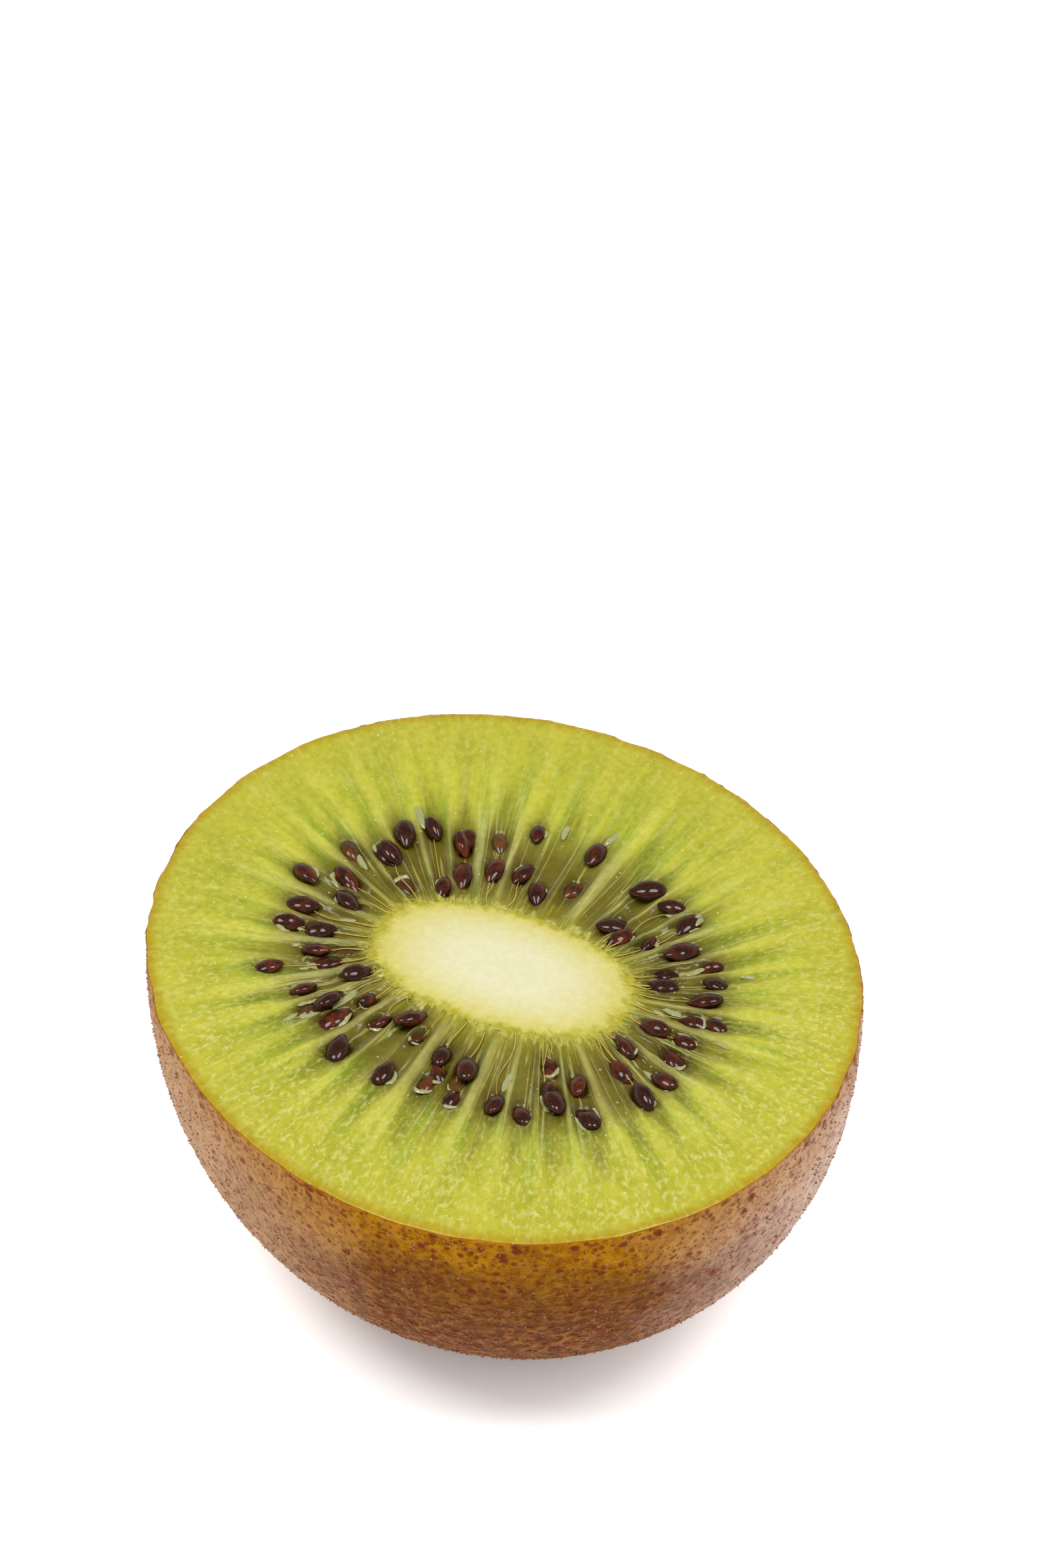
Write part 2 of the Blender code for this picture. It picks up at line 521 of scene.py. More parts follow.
def add_node(tree, kind, inputs=(), out=0, stops=(), **options):
    """Add a node with its options, ramp stops and inputs, by name or in order, and give back one output."""
    made = tree.nodes.new("ShaderNode" + kind)
    for option, value in options.items():
        setattr(made, option, value)
    for number, (place, value) in enumerate(stops):
        ramp = made.color_ramp.elements
        stop = ramp[number] if number < 2 else ramp.new(place)
        stop.position = place
        stop.color = linear(value) if isinstance(value, str) else value
    fill(made, inputs if isinstance(inputs, dict) else dict(enumerate(inputs)))
    return made.outputs[out]


def product(add, factors):
    """The product of factors. A tuple is a value with the range it is spread from, and to."""
    total = None
    for factor in factors:
        value = add("MapRange", factor) if isinstance(factor, tuple) else factor
        total = value if total is None else add("Math", (total, value), operation="MULTIPLY")
    return total


def paint(add, base, layers):
    """Lay layers over a base. Each is a colour, the way it blends, and the factors of its share."""
    for tint, blend, *factors in layers:
        base = add("Mix", {0: product(add, factors), 6: base, 7: tint}, out=2, data_type="RGBA",
                   blend_type=blend, clamp_result=True)
    return base


def waver(add, value, noise, amount):
    """A value moved up and down by a noise, by up to half an amount each way."""
    moved = add("Math", (noise, amount, -amount / 2), operation="MULTIPLY_ADD")
    return add("Math", (value, moved), operation="ADD")


# ---------------------------------------------------------------- materials


def flesh_material():
    """Fresh kiwi flesh, just cut: wet, juicy and a little see-through, streaked outwards from the core."""
    look = settings().flesh
    material, shader, add = new_material("fresh_cut_kiwi_flesh")
    place = add("TexCoord", out="Object")
    ray = add("Attribute", out="Vector", attribute_name="ray")
    share, pocket, tail, wall, halo = (
        add("Attribute", out="Fac", attribute_name=field)
        for field in ("share", "pocket", "tail", "wall", "halo")
    )

    # Noises stretched along each axis: those on ray run round the core and outwards from it
    streak, fibre, glint_fleck_noise, teeth, veins, cells, clouds, fine = (
        add("TexNoise", {"Vector": add("VectorMath", (vector, scale), operation="MULTIPLY"), "Scale": 1.0,
                         "Detail": detail, "Roughness": roughness, "Distortion": distortion})
        for vector, scale, detail, roughness, distortion in (
            (ray, (16, 16, 1.6), 2.0, 0.5, 0.0),  # broad streaks, about 1.5 mm apart in the outer flesh
            (ray, (60, 60, 5), 2.0, 0.5, 0.0),  # fibres about 0.5 mm apart
            (ray, (64, 64, 34), 3.0, 0.6, 0.3),  # flecks of 0.25 by 0.5 mm
            (ray, (24, 24, 14), 4.0, 0.7, 0.0),  # teeth of the core's fringe
            (ray, (17, 17, 0.7), 2.0, 0.5, 0.0),  # veins about 1.5 mm apart
            (place, (1 / (0.55 * MM),) * 3, 3.0, 0.6, 0.0),  # cells
            (place, (1 / (4.0 * MM),) * 3, 2.0, 0.5, 0.0),  # cloudy patches
            (place, (1 / (0.3 * MM),) * 3, 3.0, 0.5, 0.0),  # fine grain
        )
    )
    x, y, _ = add("SeparateXYZ", (place,)).node.outputs
    across = add("Math", (x, y), operation="SUBTRACT")
    from_vein = add("Math", (add("Math", (veins, 0.5), operation="SUBTRACT"),), operation="ABSOLUTE")
    fade = add("MapRange", (share, 0.50, 0.92, 1.0, 0.15))
    # Painted wet glints: pale specks 0.1 mm across and about 0.6 mm apart
    painted_sparkle = add("TexVoronoi", {"Vector": place, "Scale": 1 / (0.6 * MM), "Randomness": 1.0})
    reach = add("Math", (add("SeparateColor", (painted_sparkle.node.outputs["Color"],)), 0.22, -0.06),
                operation="MULTIPLY_ADD")
    painted_sparkle = add("Math", (reach, painted_sparkle), operation="SUBTRACT")

    solid = add("ValToRGB", (share,), stops=(
        (0.0, look.root), (0.08, look.wall), (0.32, look.wall), (0.52, look.middle), (0.95, look.outer),
        (0.998, look.rim)))
    clear = add("ValToRGB", (share,), stops=(
        (0.03, look.pocket_root), (0.14, look.pocket), (0.36, look.pocket), (0.50, look.pocket_end)))
    base = paint(add, solid, (
        # Light streaks run out from the walls, darker ones from the pockets, and both fade towards the skin
        ("CCCC64", "MIX", (wall, 0.3, 1.0), (share, 0.36, 0.60, 0.0, 0.38), fade,
         (streak, 0.3, 0.6, 1.0, 0.3)),
        ("A8CC64", "MULTIPLY", (streak, 0.42, 0.62), fade, 0.7),
        (look.pale_fleck_and_glint, "MIX", (fibre, 0.52, 0.80, 0.0, 0.3)),
        # A pale line runs along the crest of each wall
        ("C2BE7C", "MIX", (wall, 0.90, 1.0), (share, 0.06, 0.16, 0.0, 0.65), (share, 0.38, 0.56, 1.0, 0.0),
         (streak, 0.35, 0.60, 0.2, 1.0)),
        # Clear pockets look dark, because light sinks into them, and darker round the seeds: partly the seeds
        # seen through the clear flesh, partly painted shade from them
        (clear, "MIX", pocket, (fibre, 0.25, 0.6, 0.84, 1.0)),
        (look.halo, "MIX", halo, 0.72),
        # Thin pale veins run outwards between the walls too
        ("BCB870", "MIX", (from_vein, 0.0, 0.022, 0.65, 0.0), (share, 0.03, 0.12),
         (share, 0.50, 0.80, 1.0, 0.0)),
        # The core's pale fringe reaches out unevenly
        (look.fringe, "MIX", (waver(add, share, teeth, 0.40), -0.01, 0.035, 0.95, 0.0)),
        # Dark strokes run on past the pockets
        (look.pocket_end, "MIX", tail, (fibre, 0.3, 0.6, 0.3, 0.9)),
        # Grain everywhere, and painted wet glints: pale flecks, mostly in the outer flesh and on the stage
        # camera's side
        ("D0D2A4", "MULTIPLY", (cells, 0.35, 0.68, 0.0, 0.5)),
        (look.pale_fleck_and_glint, "MIX", (glint_fleck_noise, 0.50, 0.66, 0.0, 0.65), (share, 0.32, 0.68, 0.05, 1.0),
         (clouds, 0.35, 0.6, 0.6, 1.0), (across, -22 * MM, 10 * MM, 0.35, 1.0),
         (share, 0.93, 0.99, 1.0, 0.0)),
        ("E4E2B8", "MULTIPLY", (clouds, 0.3, 0.7, 0.0, 0.3)),
        # Painted wet glints: the pale specks
        ("E2DFB4", "MIX", (painted_sparkle, -0.02, 0.05, 0.0, 0.4)),
    ))

    # The clear flesh is smoother and glassier than the firm flesh
    grain = add("Bump", {"Height": fine, "Strength": add("MapRange", (pocket, 0.0, 1.0, 0.5, 0.2)),
                         "Distance": 0.10 * MM})
    relief = add("Bump", {"Height": glint_fleck_noise, "Strength": add("MapRange", (pocket, 0.0, 1.0, 0.5, 0.15)),
                          "Distance": 0.15 * MM, "Normal": grain})
    fill(shader, {
        "Base Color": base, "Normal": relief,
        "Roughness": product(add, ((cells, 0.3, 0.7, 0.26, 0.46), (pocket, 0.0, 1.0, 1.0, 0.45))),
        "IOR": 1.36, "Specular IOR Level": 0.22,
        "Subsurface Weight": 0.35, "Subsurface Radius": (1.0, 0.9, 0.25), "Subsurface Scale": 0.6 * MM,
        "Coat Weight": 0.35, "Coat Roughness": 0.08, "Coat IOR": 1.34,
    })
    return material


def core_material():
    """The firm core, just cut: dense, pale and almost matt, with a damp sparkle."""
    look = settings().core
    material, shader, add = new_material("fresh_cut_kiwi_core")
    place = add("TexCoord", out="Object")
    share = add("Attribute", out="Fac", attribute_name="share")
    waves = add("TexNoise", {"Vector": place, "Scale": 1 / (0.8 * MM), "Detail": 4.0, "Roughness": 0.7})
    grain = add("TexNoise", {"Vector": place, "Scale": 1 / (0.5 * MM), "Detail": 3.0})
    reach = waver(add, share, waves, 0.36)
    rooted = add("ValToRGB", (reach,), stops=(
        (0.0, look.middle), (0.38, look.middle), (0.66, look.end), (0.82, "C8BF78"),
        (0.94, settings().flesh.fringe)))
    base = paint(add, rooted, (
        (settings().flesh.root, "MIX", (reach, 0.93, 1.02)),
        ("D9D3A0", "MULTIPLY", (grain, 0.35, 0.7, 0.0, 0.16)),
    ))
    fill(shader, {
        "Base Color": base, "Normal": add("Bump", {"Height": grain, "Strength": 0.3, "Distance": 0.06 * MM}),
        "Roughness": 0.5, "IOR": 1.38, "Coat Weight": 0.15, "Coat Roughness": 0.3,
    })
    return material


def seed_material():
    """Kiwi seed shells: hard, dark red-brown, finely pitted and wet with juice."""
    look = settings().seeds
    material, shader, add = new_material("wet_kiwi_seed_shell")
    place = add("TexCoord", out="Object")
    tone = add("Attribute", out="Fac", attribute_name="tone")
    pits = add("TexVoronoi", {"Vector": place, "Scale": 1 / (0.20 * MM)})
    patches = add("TexNoise", {"Vector": place, "Scale": 1 / (0.7 * MM), "Detail": 3.0})
    base = paint(add, look.shell, (
        (look.shell_light, "MIX", (patches, 0.40, 0.66), tone),
        ("7C3E14", "MIX", (pits, 0.0, 0.4, 0.45, 0.0)),
        # Tones above 1 are seeds that lie under clear flesh
        (look.veil, "MIX", (tone, 1.0, 2.0), 0.55),
    ))
    fill(shader, {
        "Base Color": base, "Normal": add("Bump", {"Height": pits, "Strength": 0.7, "Distance": 0.05 * MM}),
        "Roughness": 0.35, "IOR": 1.45, "Specular IOR Level": 0.05,
        "Coat Weight": 0.7, "Coat Roughness": 0.03, "Coat IOR": 1.40,
    })
    return material


def mottled_material(name, first, second, finish, grain=None, detail=1.0):
    """A material of two colours, mottled over a grain, or mixed by each copy's own tone."""
    material, shader, add = new_material(name)
    if grain:
        place = add("TexCoord", out="Object")
        tone = add("TexNoise", {"Vector": place, "Scale": 1 / grain, "Detail": detail})
    else:
        tone = add("Attribute", out="Fac", attribute_name="tone")
    fill(shader, {"Base Color": paint(add, first, ((second, "MIX", tone),)), **finish})
    return material


def thread_material():
    """Seed threads: soft yellow plant fibre, damp."""
    finish = {"Roughness": 0.35}
    return mottled_material("damp_seed_thread_fibre", settings().seeds.thread, "C0AC58", finish, 1.2 * MM)


def fibre_material():
    """Frayed fibres of the core: pale yellow-green, damp, a little see-through."""
    finish = {"Roughness": 0.4, "Specular IOR Level": 0.3}
    return mottled_material("frayed_core_fibre", settings().seeds.fibre, "A0962C", finish, 1.0 * MM)


def gel_material():
    """Wet gel of the seed pockets: clear, whitish where it is torn."""
    finish = {"Roughness": 0.12, "IOR": 1.40, "Transmission Weight": 0.05, "Coat Weight": 0.5,
              "Coat Roughness": 0.04}
    return mottled_material("torn_kiwi_gel", settings().seeds.gel, "8A8A4E", finish, 0.6 * MM, 2.0)


def nub_material():
    """Stubs of worn-off hairs: dry cork, dark red-brown."""
    finish = {"Roughness": 0.7, "Sheen Weight": 0.2, "Sheen Roughness": 0.3,
              "Sheen Tint": settings().skin.fuzz}
    return mottled_material("dry_cork_nub", "6A2E14", "B07C58", finish)


def skin_material():
    """Kiwi skin: thin and brown, with corky speckles, a pinkish sheen painted on its sides, and clear gold near
    the cut.
    """
    look = settings().skin
    material, shader, add = new_material("brushed_kiwi_skin")
    place = add("TexCoord", out="Object")
    clouds = add("TexNoise", {"Vector": place, "Scale": 1 / (7.0 * MM), "Detail": 3.0})
    lumps = add("TexNoise", {"Vector": place, "Scale": 1 / (0.75 * MM), "Detail": 2.0, "Roughness": 0.55})
    pores = add("TexNoise", {"Vector": place, "Scale": 1 / (0.24 * MM), "Detail": 2.0, "Roughness": 0.6})
    x, y, z = add("SeparateXYZ", (place,)).node.outputs
    below = add("Math", (settings().body.cut_level, z), operation="SUBTRACT")

    # Gold shows through the skin for a few millimetres under the cut, deeper in some places
    uneven = waver(add, below, clouds, -12 * MM)
    tones = add("ValToRGB", (add("MapRange", (uneven, 0.0, 9 * MM)),), stops=(
        (0.0, look.gold), (0.25, look.gold), (0.6, look.tan), (1.0, look.low)))

    # The pinkish sheen is painted, in place of the fuzz's grazing sheen, and is a guess that suits the stage
    # camera:
    # it starts 22 degrees to each side of that camera's azimuth and weakens at the back, so from elsewhere a
    # brown panel with upright edges shows
    turned = add("Math", (add("Math", (x, y), operation="ADD"), add("Math", (x, y), operation="SUBTRACT")),
                 operation="ARCTAN2")
    away = waver(add, add("Math", (turned,), operation="ABSOLUTE"), clouds, 0.5)
    painted_sheen = product(add, (
        (away, math.radians(22), math.radians(62)), (lumps, 0.36, 0.58, 0.7, 1.0),
        (uneven, -1 * MM, 4 * MM, 0.45, 1.0), (away, math.radians(80), math.radians(125), 1.0, 0.35)))
    painted_sheen_colour = paint(add, "B8926E", (
        ("C8AA98", "MIX", (add("Math", (turned,), operation="SINE"), -0.56, 0.56)),))
    # Lumps 0.75 mm apart: painted shade darkens the dips between them, and their tops are lighter, partly dust
    # and partly a painted highlight
    base = paint(add, tones, (
        ("B88A5E", "MULTIPLY", (lumps, 0.34, 0.56, 0.6, 0.0)),
        ("A86C34", "MIX", (lumps, 0.50, 0.66), (uneven, 2 * MM, 12 * MM, 0.05, 0.5)),
        # Painted pinkish sheen on the sides
        (painted_sheen_colour, "MIX", painted_sheen),
    ))

    # Corky speckles of 0.15 to 0.3 mm: fine ones 0.45 mm apart, larger ones 0.95 mm apart, some missing, and
    # fainter under the painted sheen
    for apart, reach, strength in ((0.45, 0.52, 0.7), (0.95, 0.40, 0.9)):
        cork = add("TexVoronoi", {"Vector": place, "Scale": 1 / (apart * MM), "Randomness": 1.0})
        size = product(add, (add("SeparateColor", (cork.node.outputs["Color"],)), reach))
        larger = add("MapRange", (below, 0.2 * MM, 2.5 * MM, 0.12, 0.0))
        edge = add("Math", (waver(add, size, lumps, 0.4), larger), operation="ADD")
        inside = add("Math", (edge, cork), operation="SUBTRACT")
        base = paint(add, base, (
            (look.speckle, "MIX", (inside, -0.06, 0.14, 0.0, strength), (painted_sheen, 0.0, 1.0, 1.0, 0.5)),))
    base = paint(add, base, ((look.edge, "MIX", (below, 0.10 * MM, 0.30 * MM, 0.6, 0.0)),))

    grain = add("Bump", {"Height": pores, "Strength": 0.7, "Distance": 0.12 * MM})
    fill(shader, {
        "Base Color": base,
        "Normal": add("Bump", {"Height": lumps, "Strength": 1.0, "Distance": 0.8 * MM, "Normal": grain}),
        "Roughness": 0.55, "IOR": 1.4, "Specular IOR Level": 0.04,
        "Sheen Weight": 0.06, "Sheen Roughness": 0.12, "Sheen Tint": look.fuzz,
    })
    return material


# ---------------------------------------------------------------- seeds' places


def seed_places():
    """Turn, share, size and lie of each seed: one or two in each pocket, a few doubled up."""
    pockets = Pockets()
    rng = np.random.default_rng(settings().seeds.random_seed)
    places = []
    for number, turn in enumerate(pockets.turn):
        stagger = 0.03 if number % 2 else -0.03
        # An inner row and an outer row of seeds, each with gaps, and now and then one between them
        for middle, spread, missing in ((0.17, 0.035, 0.26), (0.365, 0.04, 0.08)):
            if rng.random() < missing:
                continue
            share = middle + rng.normal(0, spread) + stagger
            side = rng.normal(0, 0.06) * pockets.spacing
            places.append((turn + side, max(share, 0.09)))
        if rng.random() < 0.18:
            places.append((turn + rng.normal(0, 0.12) * pockets.spacing, 0.28 + rng.normal(0, 0.02)))
    made = []
    for turn, share in places:
        size = float(np.clip(rng.normal(0.95, 0.10), 0.74, 1.12))
        buried = rng.random() < 0.16
        made.append({
            "turn": float(turn), "share": float(share), "size": size * (0.88 if buried else 1.0),
            "sink": 0.42 if buried else float(np.clip(rng.normal(0.05, 0.16), -0.25, 0.30)),
            "swing": float(rng.normal(0, 19)), "roll": float(rng.normal(0, 24)),
            "pitch": float(rng.normal(0, 10)),
            "tone": float(rng.random()) + (1.0 if buried else 0.0),
        })
    return made


# ---------------------------------------------------------------- operators


class KIWI_OT_flesh(bpy.types.Operator):
    """Make the green flesh with its seed pockets"""

    bl_idname = "kiwi.make_flesh"
    bl_label = "Flesh"

    def execute(self, context):
        body = settings().body
        pockets = Pockets()
        turn = turns(576)
        socket = body.cut_level - 1.6 * MM  # the core sits in a socket of the flesh
        outer_shares = 1 - 0.4 * (1 - np.linspace(0, 1, 46)[1:]) ** 1.5  # closer together towards the rim
        shares = np.concatenate([np.linspace(0, 0.6, 92)[1:], outer_shares])
        edge = core_edge(turn)
        lip = cut_height(turn, 0 * turn, pockets) - 0.1 * MM
        rings = [pole(turn, socket), ring_of(edge * 0.5, socket), ring_of(edge * 0.8, socket)]
        rings.append(ring_of(edge * 0.85, lip))
        lead = len(rings)
        for share in shares:
            whole_ring = np.full_like(turn, share)
            rings.append(ring_of(face_place(turn, whole_ring)[0], cut_height(turn, whole_ring, pockets)))
        # The flesh's outside lies within the skin's wall
        inset = settings().skin.wall * 0.6
        under = sides(turn, side_depths(15), inset, body.core_turn) + [pole(turn, inset)]
        rings = np.array(rings + under)
        share_rows = np.concatenate([np.zeros(lead), shares, np.ones(len(under))])
        turn_grid, share_grid = np.meshgrid(turn, share_rows)
        halo = np.zeros(share_grid.shape)
        for seed in seed_places():
            reach = seed_reach(rings, seed)
            reach[(share_rows <= 0) | (share_rows > 0.8)] = math.inf  # seeds leave the socket and rim alone
            # The flesh is pressed down under a seed, and rises to a little wet rim round it
            rings[:, :, 2] -= DENT * (1 - smooth_step(0.5, 1.05, reach))
            rings[:, :, 2] += 0.08 * MM * bell(reach, 1.28, 0.22)
            # Darkening round each seed, partly painted shade from the seed
            halo = np.maximum(halo, bell(reach, 0.6, 0.9))
        fields = {
            "ray": np.stack([np.cos(turn_grid), np.sin(turn_grid), share_grid], axis=-1),
            "share": share_grid,
            "pocket": pockets.field(turn_grid, share_grid),
            "tail": pockets.tail(turn_grid, share_grid),
            "wall": pockets.between(turn_grid, share_grid),
            "halo": halo,
        }
        piece = wrap_grid("flesh", rings, fields)
        ruffle(piece, grain=0.9 * MM, strength=0.05 * MM)
        hand_in(piece, flesh_material())
        return {"FINISHED"}


def seed_reach(rings, seed):
    """Distance of each point from a seed's middle, as a share of the way to the seed's outline."""
    chosen = settings().seeds
    place, _ = face_place(np.array([seed["turn"]]), np.array([seed["share"]]))
    away = rings[:, :, :2] - place[0]
    toward = place[0] / np.linalg.norm(place[0])
    along = away @ toward
    across = away @ np.array([-toward[1], toward[0]])
    return np.hypot(along / chosen.length, across / chosen.width) / (0.5 * seed["size"])


class KIWI_OT_core(bpy.types.Operator):
    """Make the pale core"""

    bl_idname = "kiwi.make_core"
    bl_label = "Core"

    def execute(self, context):
        body, core = settings().body, settings().core
        pockets = Pockets()
        turn = turns(480)
        edge = core_edge(turn)
        level = cut_height(turn, 0 * turn, pockets)
        # Small teeth where the core grows out into the walls between the pockets
        teeth = 0.018 * wobble(turn, 60, 150, 41) + 0.020 * wobble(turn, 4, 14, 42)
        low = body.cut_level - 1.5 * MM  # the core's underside, inside the flesh
        rings = [pole(turn, low), ring_of(edge * 0.8, low)]
        shares = [0.0, 0.8]
        for out in np.linspace(1.12, 0, 52)[:-1]:
            # The core's thin edge lies on the flesh, and its last rings dive into it
            over = 0.04 * MM * (1 - smooth_step(0.9, 1.03, out)) - 0.5 * MM * smooth_step(1.03, 1.12, out)
            rise = core.crown * (1 - np.clip(out, 0, 1) ** 2) ** 1.2
            rings.append(ring_of(edge * (out + teeth[:, None] * out**4), level + rise + over))
            shares.append(out)
        rings.append(pole(turn, level.mean() + core.crown))
        shares.append(0.0)
        piece = wrap_grid("core", np.array(rings), {"share": np.meshgrid(turn, shares)[1]})
        ruffle(piece, grain=0.35 * MM, strength=0.07 * MM)
        hand_in(piece, core_material())
        return {"FINISHED"}


class KIWI_OT_skin(bpy.types.Operator):
    """Make the thin skin, a cup round the flesh"""

    bl_idname = "kiwi.make_skin"
    bl_label = "Skin"

    def execute(self, context):
        body, skin = settings().body, settings().skin
        turn = turns(640)
        outer = sides(turn, side_depths(130)[::-1], 0)
        top = []
        for step in np.linspace(0.08, 0.45, 5):
            lean = math.pi / 2 * step
            radius = skin_radius(turn) - body.rim_radius * (1 - math.cos(lean))
            height = body.cut_level - body.rim_radius * (1 - math.sin(lean))
            top.append(ring_of(polar(radius, turn), height))
        inner = sides(turn, side_depths(9), skin.wall)
        rings = np.array([pole(turn, 0.0)] + outer + top + inner + [pole(turn, skin.wall)])
        piece = wrap_grid("skin", rings, {})
        ruffle(piece, grain=2.6 * MM, strength=0.12 * MM)
        ruffle(piece, grain=0.65 * MM, strength=0.20 * MM)
        hand_in(piece, skin_material())
        return {"FINISHED"}


class KIWI_OT_nubs(bpy.types.Operator):
    """Make the corky nubs that worn-off hairs leave on the skin"""

    bl_idname = "kiwi.make_nubs"
    bl_label = "Nubs"

    def execute(self, context):
        body, skin = settings().body, settings().skin
        deselect_all()
        root, tip = 0.085 * MM, 0.02 * MM
        bpy.ops.mesh.primitive_cone_add(vertices=4, radius1=root, radius2=tip, depth=skin.nub_height)
        model = bpy.context.object
        rng = np.random.default_rng(7)
        depths = side_depths(400)
        tall = body.cut_level - body.rim_radius
        turn = rng.uniform(0, FULL_TURN, skin.nubs)
        row = rng.integers(2, 385, skin.nubs)
        radius, height = skin_radius(turn, depths[row]), (1 - depths[row]) * tall
        narrowing = radius - skin_radius(turn, depths[row + 1])
        slope = np.arctan2(narrowing, (depths[row + 1] - depths[row]) * tall)
        # Rows are evenly spaced, so a nub is kept more often where its ring is wider
        kept = rng.random(skin.nubs) < radius / (body.face_radius * 1.06)
        kept &= height > 0.25 * MM
        roots = ring_of(polar(radius, turn), height)[kept]
        outward = ring_of(polar(np.cos(slope), turn), -np.sin(slope))[kept]
        places, tones = [], []
        for root, out in zip(roots, outward):
            along = (Vector(out) + Vector(rng.normal(0, 0.25, 3))).normalized()
            size, girth = rng.uniform(0.35, 1.0), rng.uniform(0.6, 1.15)
            middle = Vector(root) + along * (skin.nub_height * size * 0.25)
            lean = along.to_track_quat("Z", "Y")
            places.append(Matrix.LocRotScale(middle, lean, Vector((girth, girth, size))))
            tones.append(rng.random() ** 1.5)
        piece = scatter("skin_nubs", model, places, tones)
        hand_in(piece, nub_material())
        return {"FINISHED"}


class KIWI_OT_seeds(bpy.types.Operator):
    """Make the seeds that lie in the pockets"""

    bl_idname = "kiwi.make_seeds"
    bl_label = "Seeds"

    def execute(self, context):
        chosen = settings().seeds
        pockets = Pockets()
        deselect_all()
        on_its_side = (0, math.pi / 2, 0)
        bpy.ops.mesh.primitive_uv_sphere_add(segments=20, ring_count=14, radius=0.5, rotation=on_its_side)
        bpy.ops.object.transform_apply(rotation=True)
        model = bpy.context.object
        # Draw the end nearest the core out to a blunt point
        for vertex in model.data.vertices:
            pinch = 1 - 0.34 * smooth_step(0.05, 0.5, -vertex.co.x)
            vertex.co.y *= pinch
            vertex.co.z *= pinch
        model.scale = (chosen.length, chosen.width, chosen.thickness)
        bpy.ops.object.transform_apply(scale=True)
        ruffle(model, grain=0.45 * MM, strength=0.10 * MM)
        places, tones = [], []
        for seed in seed_places():
            lift = chosen.thickness * seed["size"] * (0.5 - seed["sink"]) - DENT
            swing, *tilts = (math.radians(seed[kind]) for kind in ("swing", "roll", "pitch"))
            places.append(lying(seed["turn"], seed["share"], swing, lift, seed["size"], tilts, pockets))
            tones.append(seed["tone"])
        piece = scatter("seeds", model, places, tones)
        hand_in(piece, seed_material())
        return {"FINISHED"}


def strands(name, courses, radius):
    """A mesh of thin round strands, each along its own list of (place, thickness)."""
    deselect_all()
    path = bpy.data.curves.new(name, "CURVE")
    path.dimensions = "3D"
    path.bevel_depth = radius
    path.bevel_resolution = 1
    path.use_fill_caps = True
    path.resolution_u = 3
    for course in courses:
        spline = path.splines.new("NURBS")
        spline.points.add(len(course) - 1)
        spline.use_endpoint_u = True
        spline.order_u = 4
        for point, (place, thickness) in zip(spline.points, course):
            point.co = (*place, 1)
            point.radius = thickness
    curve = bpy.data.objects.new(name, path)
    bpy.context.scene.collection.objects.link(curve)
    bpy.context.view_layer.objects.active = curve
    curve.select_set(True)
    bpy.ops.object.convert(target="MESH")
    piece = bpy.context.object
    edit(bpy.ops.mesh.normals_make_consistent, inside=False)
    return piece


class KIWI_OT_threads(bpy.types.Operator):
    """Make the yellow threads from the core's edge to the seeds"""

    bl_idname = "kiwi.make_threads"
    bl_label = "Threads"

    def execute(self, context):
        pockets = Pockets()
        rng = np.random.default_rng(17)
        courses = []
        for seed in seed_places():
            if seed["tone"] > 1 or rng.random() < 0.42:
                continue
            start = rng.uniform(0.0, 0.05)
            end = seed["share"] - 0.04
            side, wave = rng.normal(0, 0.022), rng.normal(0, 0.012)
            lift = 0.04 * MM + 0.22 * MM * rng.random() ** 2
            course = []
            for step in np.linspace(0, 1, 7):
                swing = side * math.sin(math.pi * step) + wave * math.sin(2 * math.pi * step)
                height = 0.06 * MM + lift * math.sin(math.pi * step)
                place = along_face(seed["turn"] + swing, start + (end - start) * step, height, pockets)
                course.append((place, 1.1 - 0.5 * step))
            courses.append(course)
        piece = strands("seed_threads", courses, radius=0.048 * MM)
        hand_in(piece, thread_material())
        return {"FINISHED"}


class KIWI_OT_fibres(bpy.types.Operator):
    """Make the short pale fibres that fray out from the core's edge, some of them curled"""

    bl_idname = "kiwi.make_fibres"
    bl_label = "Fibres"

    def execute(self, context):
        pockets = Pockets()
        rng = np.random.default_rng(19)
        courses = []
        for turn in rng.uniform(0, FULL_TURN, 80):
            curled = rng.random() < 0.28
            start = rng.uniform(-0.01, 0.03)
            reach = rng.uniform(0.02, 0.05) if curled else rng.uniform(0.05, 0.17)
            side = rng.normal(0, 0.05 if curled else 0.008)
            course = []
            for step in np.linspace(0, 1, 5):
                swing = side * math.sin(math.pi * step * (1.4 if curled else 0.6))
                height = 0.03 * MM + (0.22 * MM * math.sin(math.pi * step) if curled else 0.0)
                place = along_face(turn + swing, start + reach * step, height, pockets)
                course.append((place, 1.0 - 0.6 * step))
            courses.append(course)
        piece = strands("core_fibres", courses, radius=0.04 * MM)
        hand_in(piece, fibre_material())
        return {"FINISHED"}


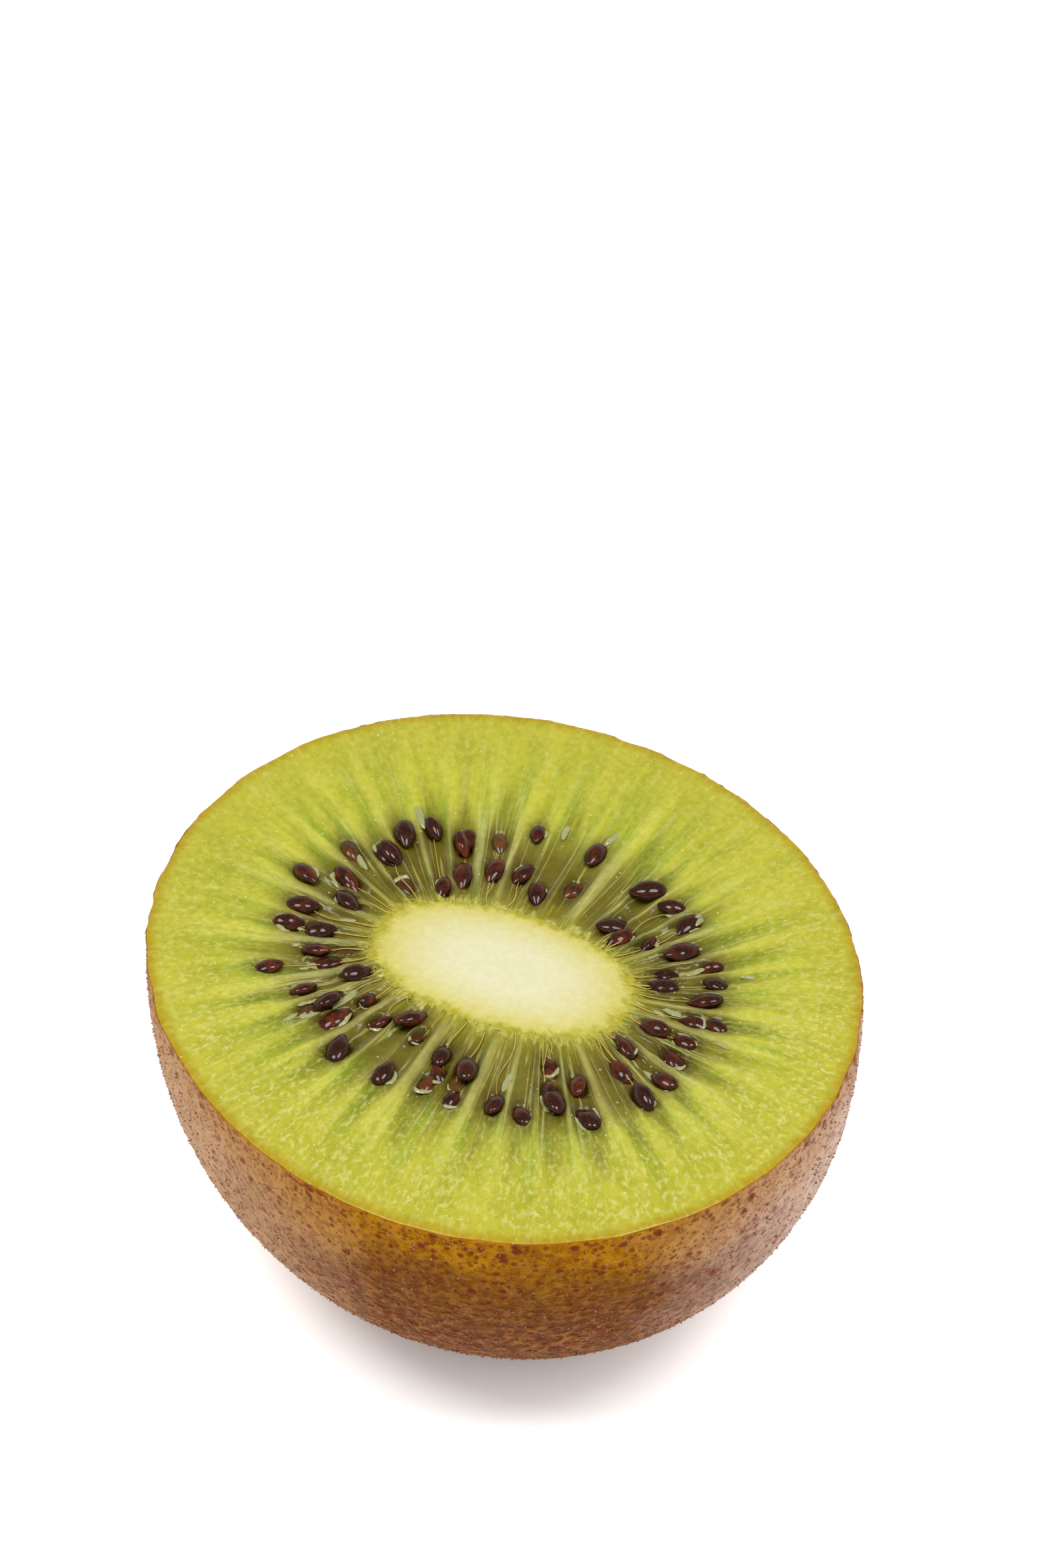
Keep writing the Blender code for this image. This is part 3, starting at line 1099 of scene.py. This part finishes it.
class KIWI_OT_gel(bpy.types.Operator):
    """Make the wet gel: torn shreds between the seeds and crescents round them"""

    bl_idname = "kiwi.make_gel"
    bl_label = "Gel"

    def execute(self, context):
        pockets = Pockets()
        rng = np.random.default_rng(29)
        model = self.lump(long=2.4 * MM, wide=0.55 * MM, high=0.20 * MM)
        lift, tilt = 0.03 * MM, 0.08
        places = []
        for turn in rng.choice(pockets.turn, 30):
            share = rng.uniform(0.14, 0.52)
            turn += rng.normal(0, 0.25) * pockets.spacing
            turned, size = rng.normal(0, 0.2), rng.uniform(0.4, 1.3)
            places.append(lying(turn, share, turned, lift, size, rng.normal(0, tilt, 2), pockets))
        hand_in(scatter("gel_shreds", model, places), gel_material())

        # Crescents of gel cling to the outer ends and sides of the seeds
        model = self.lump(long=2.1 * MM, wide=0.44 * MM, high=0.24 * MM)
        bow = 0.85 * MM
        for vertex in model.data.vertices:
            round_seed = vertex.co.x / bow
            outward = bow + vertex.co.y
            vertex.co.x, vertex.co.y = outward * math.cos(round_seed), outward * math.sin(round_seed)
        places = []
        for seed in seed_places():
            if rng.random() < 0.45:
                continue
            turned = math.radians(seed["swing"]) + rng.normal(0, 0.9)
            tilts = rng.normal(0, tilt, 2)
            places.append(lying(seed["turn"], seed["share"], turned, lift, seed["size"], tilts, pockets))
        hand_in(scatter("gel_crescents", model, places), gel_material())
        return {"FINISHED"}

    def lump(self, long, wide, high):
        """An uneven lump, lying along +X."""
        deselect_all()
        bpy.ops.mesh.primitive_ico_sphere_add(subdivisions=4, radius=0.5)
        model = bpy.context.object
        model.name = "gel_lump"
        model.scale = (long, wide, high)
        bpy.ops.object.transform_apply(scale=True)
        ruffle(model, grain=0.4 * MM, strength=0.22 * MM)
        return model


class KIWI_OT_stage(bpy.types.Operator):
    """Make the floor, the lights and the camera"""

    bl_idname = "kiwi.make_stage"
    bl_label = "Stage"

    def execute(self, context):
        look = settings().stage
        deselect_all()
        bpy.ops.mesh.primitive_plane_add(size=4.0, location=(0, 0, float(LOWEST[2])))
        floor = bpy.context.object
        floor.name = floor.data.name = "floor"
        material, shader, add = new_material("matt_white_card")
        # The glow fades in round the half, so part of the contact shadow is painted rather than cast
        away = add("VectorMath", (add("TexCoord", out="Object"),), out="Value", operation="LENGTH")
        ring = (away, 9 * MM, 21 * MM, 0.0, look.floor_glow)
        glow = add("MapRange", ring, interpolation_type="SMOOTHSTEP")
        fill(shader, {"Base Color": look.floor, "Roughness": 0.9, "Specular IOR Level": 0.1,
                      "Emission Color": look.floor, "Emission Strength": glow})
        floor.data.materials.append(material)

        # White walls that dim towards the ceiling; seen directly, all of it is plain white
        world = bpy.data.worlds.new("white_surroundings")
        world.use_nodes = True
        add = partial(add_node, world.node_tree)
        upward = add("SeparateXYZ", (add("TexCoord", out="Generated"),), out="Z")
        glow = add("MapRange", (upward, 0.15, 0.60, look.walls, look.ceiling))
        seen = add("LightPath", out="Is Camera Ray")
        strength = add("MapRange", (seen, 0.0, 1.0, glow, 1.0))
        fill(world.node_tree.nodes["Background"], {"Color": "FFFFFF", "Strength": strength})
        context.scene.world = world

        for side, name in ((-1, "softbox_left"), (1, "softbox_right")):
            lamp = bpy.data.lights.new(name, "AREA")
            lamp.shape = "DISK"
            lamp.size = look.softbox_size
            lamp.energy = look.softbox
            softbox = bpy.data.objects.new(name, lamp)
            toward = look.azimuth - math.pi / 2 + side * look.softbox_side
            offset = Euler((0, -look.softbox_rise, toward)).to_matrix() @ Vector((look.softbox_away, 0, 0))
            softbox.location = Vector((0, 0, settings().body.cut_level)) + offset
            softbox.rotation_euler = (-offset).to_track_quat("-Z", "Y").to_euler()
            context.scene.collection.objects.link(softbox)

        lens = bpy.data.cameras.new("camera")
        lens.lens = look.lens
        lens.sensor_width = 36
        camera = bpy.data.objects.new("camera", lens)
        camera.location = look.camera_place
        camera.rotation_euler = (math.pi / 2 - look.elevation, 0, look.azimuth)
        context.scene.collection.objects.link(camera)
        context.scene.camera = camera
        context.scene.view_settings.view_transform = "Standard"
        return {"FINISHED"}


class KIWI_PT_panel(bpy.types.Panel):
    """Lists the steps that make the kiwi half"""

    bl_idname = "KIWI_PT_panel"
    bl_label = "Kiwi half"
    bl_space_type = "VIEW_3D"
    bl_region_type = "UI"
    bl_category = "Kiwi"

    def draw(self, context):
        for step in STEPS:
            self.layout.operator(step.bl_idname)


SETTING_GROUPS = (
    BodySettings, FleshSettings, CoreSettings, SeedSettings, SkinSettings, StageSettings, KiwiSettings
)
STEPS = (
    KIWI_OT_skin, KIWI_OT_nubs, KIWI_OT_flesh, KIWI_OT_core, KIWI_OT_seeds, KIWI_OT_threads, KIWI_OT_fibres,
    KIWI_OT_gel, KIWI_OT_stage,
)


def register():
    for group in SETTING_GROUPS + STEPS + (KIWI_PT_panel,):
        bpy.utils.register_class(group)
    bpy.types.Scene.kiwi = bpy.props.PointerProperty(
        type=KiwiSettings, name="Kiwi half", description="Settings of the kiwi half"
    )


def unregister():
    del bpy.types.Scene.kiwi
    for group in reversed(SETTING_GROUPS + STEPS + (KIWI_PT_panel,)):
        bpy.utils.unregister_class(group)


def main():
    register()
    bpy.ops.kiwi.make_skin()
    bpy.ops.kiwi.make_nubs()
    bpy.ops.kiwi.make_flesh()
    bpy.ops.kiwi.make_core()
    bpy.ops.kiwi.make_seeds()
    bpy.ops.kiwi.make_threads()
    bpy.ops.kiwi.make_fibres()
    bpy.ops.kiwi.make_gel()
    bpy.ops.kiwi.make_stage()


if __name__ == "__main__":
    main()
